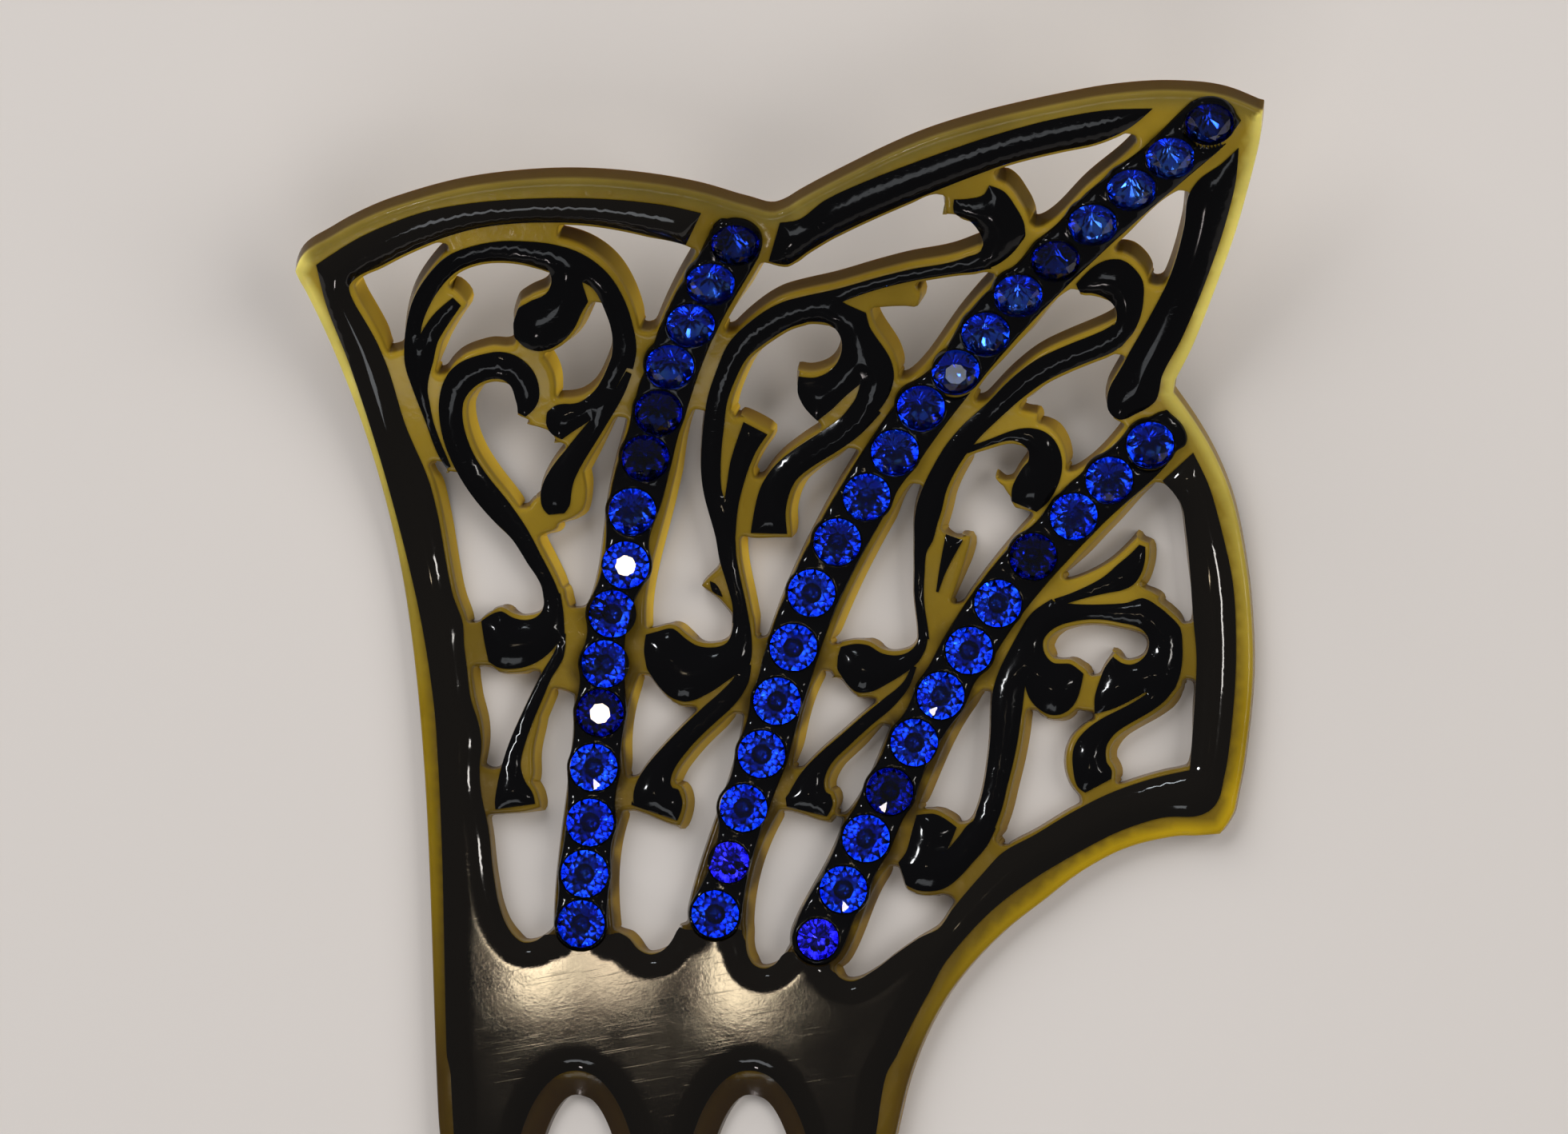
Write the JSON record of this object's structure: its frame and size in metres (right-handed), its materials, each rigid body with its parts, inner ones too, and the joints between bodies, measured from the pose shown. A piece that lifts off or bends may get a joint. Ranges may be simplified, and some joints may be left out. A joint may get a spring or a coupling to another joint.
{
  "type": "mantilla comb",
  "caption": "Tall pierced hair comb with a scalloped, forward-curling head, raised black scrollwork over amber, curved runs of round blue stones and straight prongs.",
  "frame": {"origin": "centre of the bounding box on the flat back, which is the plane z = 0", "axes": "+X across the comb to the picture's right, +Y from the prongs to the head, +Z out of the face, up from the flat back"},
  "size_m": [0.078, 0.1602, 0.0212],
  "materials": {
    "amber": "polished translucent amber plastic, darker brown on its edges",
    "black": "polished black plastic, finely scratched on the plate",
    "blue_stone": "foil-backed faceted blue glass"
  },
  "bodies": {
    "root": {"amber_sheet": "amber", "black_plate": "black", "top_strip": "black", "tip_strip": "black", "left_channel": "black", "middle_channel": "black", "right_channel": "black", "left_ring": "black", "left_stem": "black", "middle_scroll": "black", "thorn_eye": "black", "inner_scroll": "black", "inner_blade": "black", "right_scroll": "black", "left_stone_01": "blue_stone", "left_stone_02": "blue_stone", "left_stone_03": "blue_stone", "left_stone_04": "blue_stone", "left_stone_05": "blue_stone", "left_stone_06": "blue_stone", "left_stone_07": "blue_stone", "left_stone_08": "blue_stone", "left_stone_09": "blue_stone", "left_stone_10": "blue_stone", "left_stone_11": "blue_stone", "left_stone_12": "blue_stone", "left_stone_13": "blue_stone", "left_stone_14": "blue_stone", "left_stone_15": "blue_stone", "middle_stone_01": "blue_stone", "middle_stone_02": "blue_stone", "middle_stone_03": "blue_stone", "middle_stone_04": "blue_stone", "middle_stone_05": "blue_stone", "middle_stone_06": "blue_stone", "middle_stone_07": "blue_stone", "middle_stone_08": "blue_stone", "middle_stone_09": "blue_stone", "middle_stone_10": "blue_stone", "middle_stone_11": "blue_stone", "middle_stone_12": "blue_stone", "middle_stone_13": "blue_stone", "middle_stone_14": "blue_stone", "middle_stone_15": "blue_stone", "middle_stone_16": "blue_stone", "middle_stone_17": "blue_stone", "middle_stone_18": "blue_stone", "middle_stone_19": "blue_stone", "right_stone_01": "blue_stone", "right_stone_02": "blue_stone", "right_stone_03": "blue_stone", "right_stone_04": "blue_stone", "right_stone_05": "blue_stone", "right_stone_06": "blue_stone", "right_stone_07": "blue_stone", "right_stone_08": "blue_stone", "right_stone_09": "blue_stone", "right_stone_10": "blue_stone", "right_stone_11": "blue_stone", "right_stone_12": "blue_stone"}
  },
  "joints": []
}
